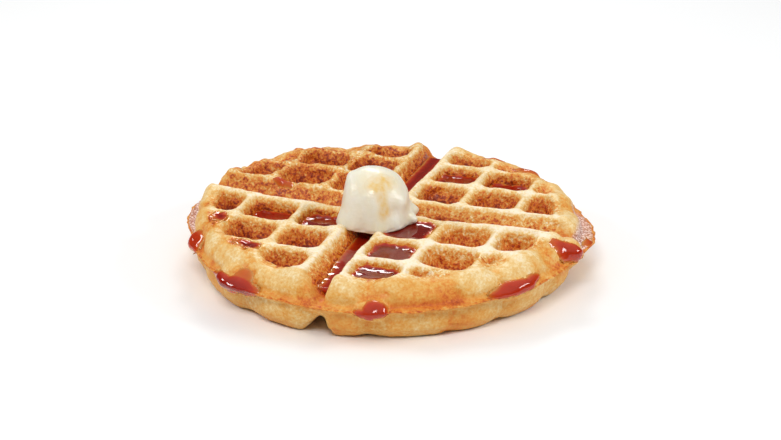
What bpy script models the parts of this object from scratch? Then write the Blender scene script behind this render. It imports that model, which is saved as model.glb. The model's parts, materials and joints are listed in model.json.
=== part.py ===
"""A round deep-pocket waffle in four quarters, with a scoop of butter and syrup.

The waffle is one solid. Its two faces start as a flat disc that is bisected along
every rib and ring, then each point is raised by what the iron's studs leave there.
Metres, +Z up, origin at the middle of the face it rests on.
"""
import math

import bmesh
import bpy
from mathutils import Matrix, Vector, noise
from mathutils.bvhtree import BVHTree

# Outline of the waffle, from the resting face up
THICKNESS = 0.0260
SEAM_RADIUS = 0.0895
SEAM_TOP = 0.0155
SEAM_BOTTOM = 0.0140
FLANGE_WIDTH = 0.0026
CREST_RADIUS = 0.0776
SEGMENTS = 96

# Shape of the outer wall: how long it stays upright, and its straight step above the flange
WALL_ROUNDNESS = 2.3
TOP_FOOT_STEP = 0.06
UNDER_FOOT_STEP = 0.10
TOP_WALL_RINGS = (0.0862, 0.0842, 0.0812)
UNDER_WALL_RINGS = (0.0854, 0.0818)

# Lattice of ribs, as distances of their centre lines from the two grooves
RIB_COLUMNS = (0.0085, 0.0318, 0.0570)
RIB_ROWS = (0.0100, 0.0342, 0.0572)
RIB_CREST_HALF = 0.0012
RIB_SHOULDER = 0.0021
WALL_RUN = 0.0038
POCKET_CORNER = 0.0032
RIM_INNER_RADIUS = 0.0756
RIM_WALL_RING = 0.0737
RIM_BLEND = 0.0015
RIB_STEP = 0.0240

# Depths of the pockets and of the two crossed grooves, on each face
TOP_POCKET_DEPTH = 0.0100
TOP_GROOVE_DEPTH = 0.0103
UNDER_POCKET_DEPTH = 0.0085
UNDER_GROOVE_DEPTH = 0.0090
GROOVE_FLOOR_HALF = 0.0012
GROOVE_MOUTH_BLEND = 0.0022

# How uneven the baked batter is
RIB_WANDER = 0.0011
WANDER_LENGTH = 0.0450
WANDER_RADIUS = 0.0520
WANDER_FADE = 0.0200
CREST_UNEVEN = 0.0009
UNEVEN_LENGTH = 0.0190
RIM_SCALLOP = 0.0028
SCALLOP_RADIUS = 0.0660
SCALLOP_FADE = 0.0100
RISE_FADE = 0.0080
RIGHT_RISE = 0.0012
LEFT_RISE = 0.0040
SEAM_RISE_SHARE = 0.5
SEAM_UNEVEN = 0.0007
SEAM_WAVES = 5.0
LACE_WIDTH = 0.0030
LACE_ANGLES = ((-2.0, 27.0), (173.0, 207.0))

# The batter ran short on one side, and the two grooves drift towards their ends
SHORT_SIDE = 0.066
SHORT_SIDE_ANGLE = 199.0
SHORT_SIDE_START = 0.0550
FRONT_GROOVE_DRIFT = 0.0045
RIGHT_GROOVE_DRIFT = -0.0035

# Clearance between separate pieces, and how close two points of a cut piece lie to be welded
GAP = 0.0004
WELD = 0.00003

# Butter scoop, as heights above the ribs with the radius of the scoop there
BUTTER_CENTRE = (0.0009, -0.0141)
BUTTER_HEIGHT = 0.0204
BUTTER_SINK = 0.0030
BUTTER_FOOT_RADIUS = 0.0161
BUTTER_FOOT_TAPER = 0.16
BUTTER_FOOT_SHARE = 0.30
BUTTER_ROUNDNESS = 3.6
BUTTER_LUMPS = 0.075
BUTTER_TILT = 0.05
BUTTER_TILT_ANGLE = 150.0
BUTTER_LOBE = 0.0032
BUTTER_LOBE_ANGLE = 14.0
BUTTER_LOBE_WIDTH = 24.0
BUTTER_SIDES = 24
BUTTER_RINGS = 9

# Syrup in pockets: name, side in x, side in y, column, row, depth below the ribs
FRONT = -1
BACK = 1
LEFT = -1
RIGHT = 1
POCKET_POOLS = (
    ("syrup_front_right_1_1", RIGHT, FRONT, 1, 1, 0.0020),
    ("syrup_front_right_1_2", RIGHT, FRONT, 1, 2, 0.0032),
    ("syrup_front_right_1_3", RIGHT, FRONT, 1, 3, 0.0036),
    ("syrup_front_left_1_1", LEFT, FRONT, 1, 1, 0.0046),
    ("syrup_front_left_2_1", LEFT, FRONT, 2, 1, 0.0066),
    ("syrup_front_left_3_2", LEFT, FRONT, 3, 2, 0.0016),
    ("syrup_front_left_2_3", LEFT, FRONT, 2, 3, 0.0016),
    ("syrup_back_right_1_2", RIGHT, BACK, 1, 2, 0.0050),
    ("syrup_back_right_2_2", RIGHT, BACK, 2, 2, 0.0066),
)
SYRUP_UNDER_FLOOR = 0.0015
POOL_SIDES = 18
POOL_RINGS = (0.86, 0.62, 0.34)
POOL_EDGE = 0.0003
POOL_STEP = 0.0002
POOL_GRID = 14
STEEPEST = 0.35

# Syrup in the grooves, which ends short of the rim: name, low corner, high corner, depth
GROOVE_POOLS = (
    ("syrup_groove_front", (-0.0085, -0.0895), (0.0085, -0.0115), 0.0062),
    ("syrup_groove_back", (-0.0085, 0.0300), (0.0085, 0.0895), 0.0062),
    ("syrup_groove_right", (0.0140, -0.0100), (0.0895, 0.0100), 0.0077),
)
GROOVE_SYRUP_END = 0.0765

# Thick drips on the outer wall: angle round the rim, radius, height, length, width, depth
WALL_DRIPS = (
    (214.0, 0.0868, 0.0165, 0.0100, 0.0110, 0.0070),
    (244.5, 0.0868, 0.0168, 0.0215, 0.0115, 0.0068),
    (286.5, 0.0878, 0.0152, 0.0145, 0.0100, 0.0064),
    (328.0, 0.0876, 0.0158, 0.0260, 0.0084, 0.0056),
    (356.0, 0.0862, 0.0178, 0.0150, 0.0120, 0.0110),
)
DRIP_LEAN = 32.0
DRIP_SIDES = 16
DRIP_RINGS = 9
SHARP_ANGLE = 50.0


def clear_scene():
    for obj in list(bpy.data.objects):
        bpy.data.objects.remove(obj, do_unlink=True)


def material(name, colour, roughness):
    made = bpy.data.materials.new(name)
    made.use_nodes = True
    shader = made.node_tree.nodes["Principled BSDF"]
    shader.inputs["Base Color"].default_value = (*colour, 1.0)
    shader.inputs["Roughness"].default_value = roughness
    shader.inputs["Metallic"].default_value = 0.0
    return made


def add_object(name, bm, finish=None):
    mesh = bpy.data.meshes.new(name)
    bm.to_mesh(mesh)
    bm.free()
    obj = bpy.data.objects.new(name, mesh)
    bpy.context.scene.collection.objects.link(obj)
    if finish:
        mesh.materials.append(finish)
    return obj


def smooth_step(value):
    value = min(max(value, 0.0), 1.0)
    return value * value * (3.0 - 2.0 * value)


def smooth_min(first, second, blend):
    mix = min(max(0.5 + 0.5 * (second - first) / blend, 0.0), 1.0)
    return second * (1.0 - mix) + first * mix - blend * mix * (1.0 - mix)


def span_of(distance, ribs):
    """Middle and half width of the pocket that this distance falls in, or None in a groove."""
    if distance < ribs[0]:
        return None
    edges = ribs + (ribs[-1] + RIB_STEP,)
    for low, high in zip(edges, edges[1:]):
        if distance <= high:
            return (low + high) / 2.0, (high - low) / 2.0 - RIB_CREST_HALF
    return None


def pocket_inset(u, v):
    """How far a point lies inside the mouth of its pocket, negative on a rib."""
    across = span_of(abs(u), RIB_COLUMNS)
    along = span_of(abs(v), RIB_ROWS)
    if across is None or along is None:
        return -1.0
    side = abs(abs(u) - across[0]) - across[1] + POCKET_CORNER
    end = abs(abs(v) - along[0]) - along[1] + POCKET_CORNER
    outside = math.hypot(max(side, 0.0), max(end, 0.0)) + min(max(side, end), 0.0) - POCKET_CORNER
    rim = RIM_INNER_RADIUS - math.hypot(u, v)
    return smooth_min(-outside, rim, RIM_BLEND)


def pocket_share(u, v):
    return smooth_step(pocket_inset(u, v) / WALL_RUN)


def groove_share(distance, first_rib):
    """Share of the groove's depth: a V with soft shoulders between the first two ribs."""
    run = first_rib - RIB_CREST_HALF - GROOVE_FLOOR_HALF
    share = (first_rib - RIB_CREST_HALF - abs(distance)) / run
    straight = min(max(share, 0.0), 1.0)
    return 0.5 * straight + 0.5 * smooth_step(share)


def rim_profile(radius, foot_step):
    """Height share of the puffed outer wall: 1 at the rib crests, 0 at the seam."""
    share = (radius - CREST_RADIUS) / (SEAM_RADIUS - FLANGE_WIDTH - CREST_RADIUS)
    if share <= 0.0:
        return 1.0
    if share >= 1.0:
        return 0.0
    return foot_step + (1.0 - foot_step) * math.sqrt(1.0 - share ** WALL_ROUNDNESS)


def rib_end_share(u, v):
    """1 where a rib meets the rim, 0 half way between two ribs."""
    radius = math.hypot(u, v)
    nearest = 1.0
    for offset, ribs, heading in ((abs(u), RIB_COLUMNS, abs(v)), (abs(v), RIB_ROWS, abs(u))):
        for rib in ribs:
            aside = abs(offset - rib) / (RIB_STEP / 2.0)
            slant = 1.0 - heading / radius
            nearest = min(nearest, aside + slant)
    return 1.0 - smooth_step(nearest)


def side_rise(u):
    """The baked disc is slightly dished: its sides stand a little higher than its middle."""
    return (LEFT_RISE if u < 0.0 else RIGHT_RISE) * (u / SEAM_RADIUS) ** 2


def top_height(u, v):
    radius = math.hypot(u, v)
    body = SEAM_TOP + (THICKNESS - SEAM_TOP) * rim_profile(radius, TOP_FOOT_STEP)
    if radius > SCALLOP_RADIUS:
        near_rim = smooth_step((radius - SCALLOP_RADIUS) / SCALLOP_FADE)
        body -= RIM_SCALLOP * near_rim * (1.0 - rib_end_share(u, v)) * rim_profile(radius, 0.0)
    grooves = max(groove_share(u, RIB_COLUMNS[0]), groove_share(v, RIB_ROWS[0]))
    floor = THICKNESS - TOP_GROOVE_DEPTH * grooves
    in_wall = grooves > 0.0 and radius > CREST_RADIUS
    height = smooth_min(body, floor, GROOVE_MOUTH_BLEND) if in_wall else min(body, floor)
    height = min(height, body - TOP_POCKET_DEPTH * pocket_share(u, v))
    above_seam = max((height - SEAM_TOP) / (THICKNESS - SEAM_TOP), 0.0)
    height += above_seam * CREST_UNEVEN * noise.noise(Vector((u, v, 0.0)) / UNEVEN_LENGTH)
    return height + side_rise(u) * (SEAM_RISE_SHARE + (1.0 - SEAM_RISE_SHARE) * above_seam)


def under_height(u, v):
    radius = math.hypot(u, v)
    body = SEAM_BOTTOM * (1.0 - rim_profile(radius, UNDER_FOOT_STEP))
    grooves = max(groove_share(u, RIB_COLUMNS[0]), groove_share(v, RIB_ROWS[0]))
    height = max(body, UNDER_GROOVE_DEPTH * grooves, UNDER_POCKET_DEPTH * pocket_share(u, v))
    return height + SEAM_RISE_SHARE * side_rise(u) * smooth_step((radius - CREST_RADIUS) / RISE_FADE)


def seam_growth(angle):
    """Extra reach of the seam at this angle: an uneven edge, and lace where batter ran out."""
    degrees = math.degrees(angle)
    growth = SEAM_UNEVEN * noise.noise(Vector((math.cos(angle), math.sin(angle), 0.0)) * SEAM_WAVES)
    for start, end in LACE_ANGLES:
        for turn in (-360.0, 0.0, 360.0):
            share = (degrees + turn - start) / (end - start)
            if 0.0 < share < 1.0:
                growth += LACE_WIDTH * smooth_step(3.0 * min(share, 1.0 - share))
    return growth


def bisect_line(bm, faces, point, normal):
    around = set(faces)
    for face in faces:
        around.update(face.edges)
        around.update(face.verts)
    bmesh.ops.bisect_plane(bm, geom=list(around), dist=1.0e-6, plane_co=point, plane_no=normal)


def faces_within(bm, radius):
    return [f for f in bm.faces if f.calc_center_median().to_2d().length < radius]


def disc_with_lines(rings, rib_offsets):
    """A flat disc, ringed near its rim and bisected along grooves and ribs."""
    bm = bmesh.new()
    bmesh.ops.create_circle(bm, cap_ends=True, segments=SEGMENTS, radius=SEAM_RADIUS)
    middle = bm.faces[:]
    for outer, inner in zip((SEAM_RADIUS,) + rings, rings):
        inset = (outer - inner) * math.cos(math.pi / SEGMENTS)
        bmesh.ops.inset_individual(bm, faces=middle, thickness=inset, use_even_offset=True)
    axes = (((1.0, 0.0, 0.0), RIB_COLUMNS), ((0.0, 1.0, 0.0), RIB_ROWS))
    for normal, ribs in axes:
        shoulder = ribs[0] - RIB_CREST_HALF
        middle_slope = (shoulder + GROOVE_FLOOR_HALF) / 2.0
        for offset in (0.0, GROOVE_FLOOR_HALF, middle_slope, shoulder, ribs[0]):
            for side in ((-1.0, 1.0) if offset else (1.0,)):
                bisect_line(bm, bm.faces[:], Vector(normal) * offset * side, normal)
    for normal, ribs in axes:
        for rib in ribs:
            for offset in rib_offsets:
                if rib == ribs[0] and offset <= 0.0:
                    continue
                for side in (-1.0, 1.0):
                    place = Vector(normal) * (rib + offset) * side
                    bisect_line(bm, faces_within(bm, RIM_INNER_RADIUS), place, normal)
    bmesh.ops.triangulate(bm, faces=[f for f in bm.faces if len(f.verts) > 4], ngon_method="BEAUTY")
    return bm


def settle(u, v):
    """Where a point of the true lattice lies on the baked waffle."""
    radius = math.hypot(u, v)
    drift = RIB_WANDER * (1.0 - smooth_step((radius - WANDER_RADIUS) / WANDER_FADE))
    x = u + drift * noise.noise(Vector((u, v, SEAM_RADIUS)) / WANDER_LENGTH)
    y = v + drift * noise.noise(Vector((u, v, -SEAM_RADIUS)) / WANDER_LENGTH)
    x += FRONT_GROOVE_DRIFT * smooth_step(-v / SEAM_RADIUS) * max(1.0 - abs(u) / RIB_COLUMNS[0], 0.0)
    y += RIGHT_GROOVE_DRIFT * smooth_step(u / SEAM_RADIUS) * max(1.0 - abs(v) / RIB_ROWS[0], 0.0)
    reach = max(radius - SHORT_SIDE_START, 0.0) / (SEAM_RADIUS - SHORT_SIDE_START)
    facing = max(math.cos(math.atan2(v, u) - math.radians(SHORT_SIDE_ANGLE)), 0.0)
    shrink = 1.0 - SHORT_SIDE * (reach * facing) ** 2
    return x * shrink, y * shrink


def raise_face(bm, height_of, edge_height):
    for vert in bm.verts:
        u, v = vert.co.x, vert.co.y
        radius = math.hypot(u, v)
        if radius > SEAM_RADIUS - FLANGE_WIDTH / 2.0:
            grown = (radius + seam_growth(math.atan2(v, u))) / radius
            x, y = settle(u, v)
            vert.co = Vector((x * grown, y * grown, edge_height + SEAM_RISE_SHARE * side_rise(u)))
            continue
        vert.co = Vector((*settle(u, v), height_of(u, v)))
    bmesh.ops.triangulate(bm, faces=bm.faces[:], quad_method="SHORT_EDGE")


def waffle_mesh():
    flange = SEAM_RADIUS - FLANGE_WIDTH
    rim_foot = RIM_INNER_RADIUS - WALL_RUN
    top_rings = (flange, *TOP_WALL_RINGS, CREST_RADIUS, RIM_INNER_RADIUS, RIM_WALL_RING, rim_foot)
    under_rings = (flange, *UNDER_WALL_RINGS, CREST_RADIUS, RIM_INNER_RADIUS, rim_foot)
    foot = RIB_CREST_HALF + WALL_RUN
    top_offsets = (-foot, -RIB_SHOULDER, 0.0, RIB_SHOULDER, foot)
    under_offsets = (-foot, -RIB_CREST_HALF, RIB_CREST_HALF, foot)

    top = disc_with_lines(top_rings, top_offsets)
    raise_face(top, top_height, SEAM_TOP)
    under = disc_with_lines(under_rings, under_offsets)
    raise_face(under, under_height, SEAM_BOTTOM)
    bmesh.ops.reverse_faces(under, faces=under.faces[:])

    lower_half = bpy.data.meshes.new("lower_half")
    under.to_mesh(lower_half)
    under.free()
    top.from_mesh(lower_half)
    bpy.data.meshes.remove(lower_half)
    rims = [edge for edge in top.edges if edge.is_boundary]
    bmesh.ops.bridge_loops(top, edges=rims)
    bmesh.ops.recalc_face_normals(top, faces=top.faces[:])
    return top


def clearance_cutter(source, name):
    """A copy of a piece, fatter by the gap, that cuts its neighbours clear of it."""
    bm = bmesh.new()
    bm.from_mesh(source.data)
    bm.normal_update()
    for vert in bm.verts:
        sharpest = min(vert.normal.dot(face.normal) for face in vert.link_faces)
        vert.co += vert.normal * GAP / max(sharpest, 0.5)
    cutter = add_object(name, bm)
    cutter.hide_render = True
    cutter.display_type = "WIRE"
    return cutter


def apply_boolean(obj, other, operation):
    step = obj.modifiers.new(operation.lower(), "BOOLEAN")
    step.operation = operation
    step.solver = "EXACT"
    step.object = other
    evaluated = obj.evaluated_get(bpy.context.evaluated_depsgraph_get())
    result = bpy.data.meshes.new_from_object(evaluated)
    obj.modifiers.clear()
    old = obj.data
    obj.data = result
    bpy.data.meshes.remove(old)


def drip_mesh(angle, radius, height, length, width, depth):
    """A lens of syrup that leans on the outer wall."""
    bm = bmesh.new()
    bmesh.ops.create_uvsphere(bm, u_segments=DRIP_SIDES, v_segments=DRIP_RINGS, radius=0.5)
    turn = math.radians(angle)
    x, y = settle(radius * math.cos(turn), radius * math.sin(turn))
    place = Matrix.Translation((x, y, height))
    lean = Matrix.Rotation(turn, 4, "Z") @ Matrix.Rotation(math.radians(-DRIP_LEAN), 4, "Y")
    size = Matrix.Diagonal((depth, length, width, 1.0))
    bmesh.ops.transform(bm, matrix=place @ lean @ size, verts=bm.verts[:])
    return bm


def build_waffle(finish):
    waffle = add_object("waffle", waffle_mesh(), finish)
    for number, drip in enumerate(WALL_DRIPS):
        lens = add_object(f"wall_drip_{number}", drip_mesh(*drip))
        apply_boolean(waffle, lens, "UNION")
        bpy.data.objects.remove(lens, do_unlink=True)
    keep_largest_body(waffle)
    return waffle


def butter_radius(share):
    """Radius of the scoop from its foot, at share 0, to its crown, at share 1."""
    dome = math.sqrt(max(1.0 - share ** BUTTER_ROUNDNESS, 0.0))
    taper = 1.0 - BUTTER_FOOT_TAPER * smooth_step(share / BUTTER_FOOT_SHARE)
    return BUTTER_FOOT_RADIUS * dome * taper


def butter_point(share, angle):
    ray = Vector((math.cos(angle), math.sin(angle), 0.0))
    lumps = 1.0 + BUTTER_LUMPS * noise.noise(ray + Vector((0.0, 0.0, share)))
    turn = math.degrees(angle) - BUTTER_LOBE_ANGLE
    turn = (turn + 180.0) % 360.0 - 180.0
    lobe = BUTTER_LOBE * math.exp(-((turn / BUTTER_LOBE_WIDTH) ** 2)) * (1.0 - smooth_step(2.0 * share))
    tilt = 1.0 + BUTTER_TILT * share * math.cos(angle - math.radians(BUTTER_TILT_ANGLE))
    return ray * (butter_radius(share) * lumps + lobe) + Vector((0.0, 0.0, BUTTER_HEIGHT * share * tilt))


def build_butter(finish, waffle_clearance):
    bm = bmesh.new()
    turns = [2.0 * math.pi * side / BUTTER_SIDES for side in range(BUTTER_SIDES)]
    sink = Vector((0.0, 0.0, -BUTTER_SINK))
    sunk = [bm.verts.new(butter_point(0.0, angle) + sink) for angle in turns]
    loops = [sunk]
    for ring in range(BUTTER_RINGS):
        share = math.sin(0.5 * math.pi * ring / BUTTER_RINGS)
        loops.append([bm.verts.new(butter_point(share, angle)) for angle in turns])
    crown = bm.verts.new((0.0, 0.0, BUTTER_HEIGHT))
    for low, high in zip(loops, loops[1:]):
        for side in range(BUTTER_SIDES):
            after = (side + 1) % BUTTER_SIDES
            bm.faces.new((low[side], low[after], high[after], high[side]))
    for side in range(BUTTER_SIDES):
        bm.faces.new((loops[-1][side], loops[-1][(side + 1) % BUTTER_SIDES], crown))
    bm.faces.new(list(reversed(sunk)))
    bmesh.ops.translate(bm, verts=bm.verts[:], vec=(*BUTTER_CENTRE, THICKNESS))
    butter = add_object("butter", bm, finish)
    apply_boolean(butter, waffle_clearance, "DIFFERENCE")
    keep_largest_body(butter)
    return butter


def keep_largest_body(obj):
    """Weld the slivers and drop the loose scraps that a cut can leave."""
    bm = bmesh.new()
    bm.from_mesh(obj.data)
    bmesh.ops.remove_doubles(bm, verts=bm.verts[:], dist=WELD)
    bmesh.ops.dissolve_degenerate(bm, edges=bm.edges[:], dist=WELD)
    left = set(bm.verts)
    bodies = []
    while left:
        body = set()
        front = [left.pop()]
        while front:
            vert = front.pop()
            body.add(vert)
            for edge in vert.link_edges:
                other = edge.other_vert(vert)
                if other in left:
                    left.remove(other)
                    front.append(other)
        bodies.append(body)
    bodies.sort(key=len)
    for body in bodies[:-1]:
        bmesh.ops.delete(bm, geom=list(body), context="VERTS")
    bm.to_mesh(obj.data)
    bm.free()


def block(name, low, high, finish):
    bm = bmesh.new()
    bmesh.ops.create_cube(bm, size=1.0)
    size = Vector(high) - Vector(low)
    place = Matrix.Translation((Vector(high) + Vector(low)) / 2.0)
    bmesh.ops.transform(bm, matrix=place @ Matrix.Diagonal((*size, 1.0)), verts=bm.verts[:])
    return add_object(name, bm, finish)


def disc_limit(radius):
    bm = bmesh.new()
    bmesh.ops.create_cone(
        bm, cap_ends=True, segments=SEGMENTS, radius1=radius, radius2=radius, depth=2.0 * THICKNESS
    )
    bmesh.ops.translate(bm, verts=bm.verts[:], vec=(0.0, 0.0, THICKNESS))
    return add_object("disc_limit", bm)


def fit_pool(pool, limit_radius, cutters):
    limit = disc_limit(limit_radius)
    apply_boolean(pool, limit, "INTERSECT")
    bpy.data.objects.remove(limit, do_unlink=True)
    for cutter in cutters:
        apply_boolean(pool, cutter, "DIFFERENCE")
    keep_largest_body(pool)


def pocket_range(ribs, index, side):
    edges = ribs + (ribs[-1] + RIB_STEP,)
    ends = (edges[index - 1] * side, edges[index] * side)
    return min(ends), max(ends)


def room_below(tree, x, y, level):
    """Depth of syrup that fits here under its level, clear of the waffle below, inside the rim."""
    if math.hypot(x, y) > RIM_INNER_RADIUS:
        return 0.0
    hit, normal, _, _ = tree.ray_cast(Vector((x, y, 2.0 * THICKNESS)), Vector((0.0, 0.0, -1.0)))
    return level - hit.z - GAP / max(normal.z, STEEPEST)


def pool_mesh(x_range, y_range, level, tree):
    """Syrup that fills a pocket up to its level: spokes walk out from the deepest part to the walls."""
    steps = [step / POOL_GRID for step in range(1, POOL_GRID)]
    spots = [
        settle(x_range[0] + along * (x_range[1] - x_range[0]), y_range[0] + across * (y_range[1] - y_range[0]))
        for along in steps
        for across in steps
    ]
    deepest = max(room_below(tree, x, y, level) for x, y in spots)
    deep = [spot for spot in spots if room_below(tree, *spot, level) > deepest / 2.0]
    middle_x = sum(x for x, _ in deep) / len(deep)
    middle_y = sum(y for _, y in deep) / len(deep)

    bm = bmesh.new()
    rings = [[] for _ in range(len(POOL_RINGS) + 2)]
    for side in range(POOL_SIDES):
        turn = 2.0 * math.pi * side / POOL_SIDES
        ray_x, ray_y = math.cos(turn), math.sin(turn)
        reach = POOL_STEP
        while room_below(tree, middle_x + ray_x * reach, middle_y + ray_y * reach, level) > POOL_EDGE:
            reach += POOL_STEP
        rings[0].append(bm.verts.new((middle_x + ray_x * reach, middle_y + ray_y * reach, level)))
        rings[1].append(bm.verts.new((middle_x + ray_x * reach, middle_y + ray_y * reach, level - POOL_EDGE)))
        for ring, share in zip(rings[2:], POOL_RINGS):
            x, y = middle_x + ray_x * reach * share, middle_y + ray_y * reach * share
            depth = max(room_below(tree, x, y, level), 1.5 * POOL_EDGE)
            ring.append(bm.verts.new((x, y, level - depth)))
    for outer, inner in zip(rings, rings[1:]):
        for side in range(POOL_SIDES):
            after = (side + 1) % POOL_SIDES
            bm.faces.new((outer[side], outer[after], inner[after], inner[side]))
    bm.faces.new(rings[0])
    lowest = bm.verts.new((middle_x, middle_y, level - room_below(tree, middle_x, middle_y, level)))
    for side in range(POOL_SIDES):
        bm.faces.new((rings[-1][side], rings[-1][(side + 1) % POOL_SIDES], lowest))
    bmesh.ops.recalc_face_normals(bm, faces=bm.faces[:])
    bmesh.ops.triangulate(bm, faces=bm.faces[:])
    return bm


def build_syrup(finish, waffle, waffle_clearance, butter_clearance):
    surface = bmesh.new()
    surface.from_mesh(waffle.data)
    tree = BVHTree.FromBMesh(surface)
    surface.free()
    for name, side_x, side_y, column, row, depth in POCKET_POOLS:
        x_range = pocket_range(RIB_COLUMNS, column, side_x)
        y_range = pocket_range(RIB_ROWS, row, side_y)
        level = THICKNESS - depth + side_rise(sum(x_range) / 2.0)
        pool = add_object(name, pool_mesh(x_range, y_range, level, tree), finish)
        if row == 1 and column == 1:
            apply_boolean(pool, butter_clearance, "DIFFERENCE")
            keep_largest_body(pool)
    bottom = THICKNESS - TOP_GROOVE_DEPTH - SYRUP_UNDER_FLOOR
    for name, low, high, depth in GROOVE_POOLS:
        pool = block(name, (*low, bottom), (*high, THICKNESS - depth), finish)
        fit_pool(pool, GROOVE_SYRUP_END, (waffle_clearance, butter_clearance))


def centre_on_base(waffle):
    """Move every piece so that the origin is under the middle of the waffle's outline."""
    xs = [vert.co.x for vert in waffle.data.vertices]
    ys = [vert.co.y for vert in waffle.data.vertices]
    middle = Vector((min(xs) + max(xs), min(ys) + max(ys), 0.0)) / 2.0
    for obj in bpy.data.objects:
        obj.data.transform(Matrix.Translation(-middle))


def main():
    clear_scene()
    crust = material("crust", (0.70, 0.39, 0.13), 0.62)
    butter_finish = material("butter", (0.90, 0.84, 0.68), 0.38)
    syrup = material("syrup", (0.26, 0.055, 0.018), 0.08)

    waffle = build_waffle(crust)
    waffle_clearance = clearance_cutter(waffle, "waffle_clearance")
    butter = build_butter(butter_finish, waffle_clearance)
    butter_clearance = clearance_cutter(butter, "butter_clearance")
    build_syrup(syrup, waffle, waffle_clearance, butter_clearance)
    for guide in (waffle_clearance, butter_clearance):
        bpy.data.objects.remove(guide, do_unlink=True)
    centre_on_base(waffle)
    for obj in bpy.data.objects:
        obj.data.shade_smooth()
        obj.data.set_sharp_from_angle(angle=math.radians(SHARP_ANGLE))


main()
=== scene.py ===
import json
import math

import bmesh
import bpy
import numpy as np
from mathutils import Matrix, Vector, noise
from mathutils.bvhtree import BVHTree

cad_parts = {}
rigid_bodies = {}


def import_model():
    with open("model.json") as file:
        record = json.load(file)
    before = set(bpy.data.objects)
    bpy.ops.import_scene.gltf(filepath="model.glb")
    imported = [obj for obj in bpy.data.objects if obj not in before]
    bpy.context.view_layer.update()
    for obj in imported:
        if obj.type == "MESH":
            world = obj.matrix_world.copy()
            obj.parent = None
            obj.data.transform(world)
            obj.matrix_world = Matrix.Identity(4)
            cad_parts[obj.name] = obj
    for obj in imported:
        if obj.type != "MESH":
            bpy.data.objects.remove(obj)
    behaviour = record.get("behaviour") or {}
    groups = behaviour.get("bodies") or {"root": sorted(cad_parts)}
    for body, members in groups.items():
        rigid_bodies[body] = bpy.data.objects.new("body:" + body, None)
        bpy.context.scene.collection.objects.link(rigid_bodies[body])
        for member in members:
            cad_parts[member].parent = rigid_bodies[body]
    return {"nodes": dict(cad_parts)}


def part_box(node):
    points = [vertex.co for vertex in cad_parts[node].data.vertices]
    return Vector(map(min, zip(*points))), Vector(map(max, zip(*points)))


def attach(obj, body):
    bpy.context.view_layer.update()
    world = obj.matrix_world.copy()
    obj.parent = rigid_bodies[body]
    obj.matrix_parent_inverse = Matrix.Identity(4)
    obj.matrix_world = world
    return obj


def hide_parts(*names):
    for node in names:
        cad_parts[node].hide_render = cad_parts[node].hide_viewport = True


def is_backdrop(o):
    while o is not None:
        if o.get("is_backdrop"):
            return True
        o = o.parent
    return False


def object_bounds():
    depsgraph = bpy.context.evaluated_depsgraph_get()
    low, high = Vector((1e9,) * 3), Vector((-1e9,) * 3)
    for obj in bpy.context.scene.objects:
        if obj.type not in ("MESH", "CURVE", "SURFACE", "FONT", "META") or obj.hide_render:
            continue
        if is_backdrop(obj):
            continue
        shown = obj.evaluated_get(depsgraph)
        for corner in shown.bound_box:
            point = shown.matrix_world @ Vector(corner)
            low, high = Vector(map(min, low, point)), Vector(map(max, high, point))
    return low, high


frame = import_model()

cad_low, cad_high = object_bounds()


# The waffle: one disc of batter baked in a four-quarter iron, with deep pockets on both faces,
# puffed walls between the ribs and a thin crisp seam where the halves of the iron meet. The crumb
# is grainy in the pockets and smooth and pale on the outer wall.
LATTICE_CENTRE = (-0.0027466, -0.0003198)
CREST_HEIGHT = 0.0260
POCKET_DEPTH = 0.0103
SEAM_HEIGHT = 0.0148
SEAM_RADIUS = 0.0895
CREST_RADIUS = 0.0776
# How much the ribs rise towards the left end and the right end
LEFT_RISE = 0.0040
RIGHT_RISE = 0.0012
# The outline is drawn in on one side: by a share of the radius, at an angle, from a radius outwards
SHORT_SIDE = 0.066
SHORT_SIDE_ANGLE = 199.0
SHORT_SIDE_START = 0.0550
WELD = 0.00001
CRUST_VOXEL = 0.00078
CRUST_SMOOTHING = 5
CRUST_TRIANGLES = 190000
# The hidden under face, up to this height, is thinned out more than the rest
UNDER_FACE_TOP = SEAM_HEIGHT - 0.004
THINNING_ABOVE = 0.12


def deselect_all():
    for obj in bpy.context.scene.objects:
        obj.select_set(False)


def make_active(obj):
    deselect_all()
    obj.select_set(True)
    bpy.context.view_layer.objects.active = obj


def apply_modifier(obj, name, kind, **settings):
    made = obj.modifiers.new(name, kind)
    for setting, value in settings.items():
        setattr(made, setting, value)
    make_active(obj)
    bpy.ops.object.modifier_apply(modifier=made.name)


def points_of(mesh):
    flat = np.empty(len(mesh.vertices) * 3, np.float32)
    mesh.vertices.foreach_get("co", flat)
    return flat.reshape(-1, 3).astype(float)


def normals_of(mesh):
    flat = np.empty(len(mesh.vertices) * 3, np.float32)
    mesh.vertex_normals.foreach_get("vector", flat)
    return flat.reshape(-1, 3).astype(float)


def set_points(mesh, points):
    mesh.vertices.foreach_set("co", np.asarray(points, np.float32).ravel())
    mesh.update()


def set_value(mesh, name, values):
    layer = mesh.attributes.get(name) or mesh.attributes.new(name, "FLOAT", "POINT")
    layer.data.foreach_set("value", np.asarray(values, np.float32))


def waves(points, wavelength, seed):
    """Smooth noise from -1 to 1 at each point."""
    shift = Vector((0.37 * seed, 1.71 * seed, -2.13 * seed))
    scaled = points / wavelength
    return np.array([noise.noise(Vector(point) + shift) for point in scaled])


def ramp_up(values, low, high):
    share = np.clip((values - low) / (high - low), 0.0, 1.0)
    return share * share * (3.0 - 2.0 * share)


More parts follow.
